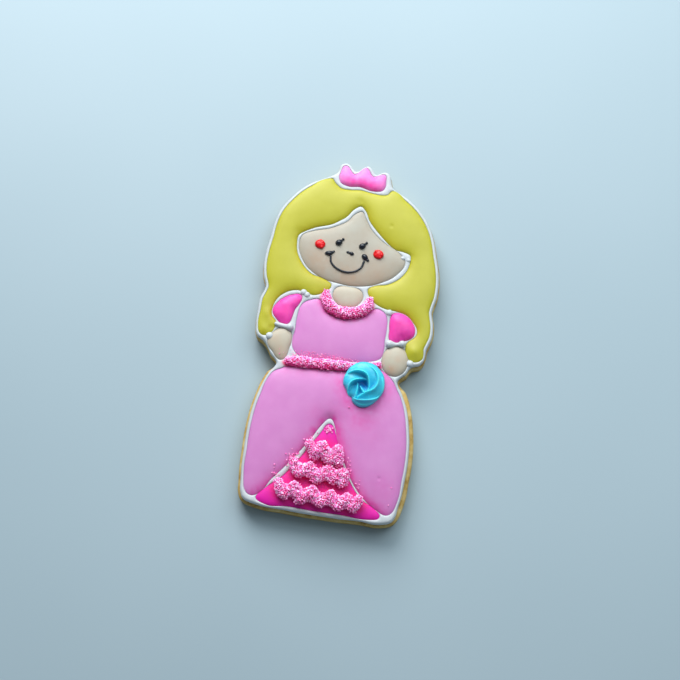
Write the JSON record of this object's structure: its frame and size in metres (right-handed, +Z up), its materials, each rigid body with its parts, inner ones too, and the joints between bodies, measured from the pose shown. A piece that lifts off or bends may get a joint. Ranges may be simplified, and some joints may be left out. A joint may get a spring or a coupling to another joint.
{
  "type": "iced sugar cookie",
  "caption": "Flat sugar cookie cut as a girl in a long dress, with a white iced border, puffy coloured icing, sugared trims and a piped blue rosette.",
  "frame": {"origin": "middle of the baked base's bounding box, on its flat underside", "axes": "+Y towards the crown, +X to the right seen from the iced side, +Z up out of the iced side"},
  "size_m": [0.06, 0.1201, 0.0142],
  "materials": {
    "baked": "matte baked crust",
    "icing_white": "satin",
    "icing_yellow": "satin",
    "icing_skin": "satin",
    "icing_pink": "satin",
    "icing_magenta": "satin",
    "icing_blue": "satin",
    "icing_red": "satin",
    "icing_black": "satin",
    "sugar_pink": "sparkling sugar grains"
  },
  "bodies": {
    "root": {"cookie_base": "baked", "white_icing": "icing_white", "cuff_left": "icing_white", "cuff_right": "icing_white", "hair": "icing_yellow", "face": "icing_skin", "neck": "icing_skin", "hand_left": "icing_skin", "hand_right": "icing_skin", "bodice": "icing_pink", "skirt": "icing_pink", "underskirt": "icing_magenta", "sleeve_left": "icing_magenta", "sleeve_right": "icing_magenta", "crown": "icing_magenta", "collar": "sugar_pink", "belt": "sugar_pink", "ruffle_upper": "sugar_pink", "ruffle_middle": "sugar_pink", "ruffle_lower": "sugar_pink", "rosette": "icing_blue", "cheek_left": "icing_red", "cheek_right": "icing_red", "eye_left": "icing_black", "eye_right": "icing_black", "nose": "icing_black", "mouth": "icing_black", "dimple_left": "icing_black", "dimple_right": "icing_black"}
  },
  "joints": []
}
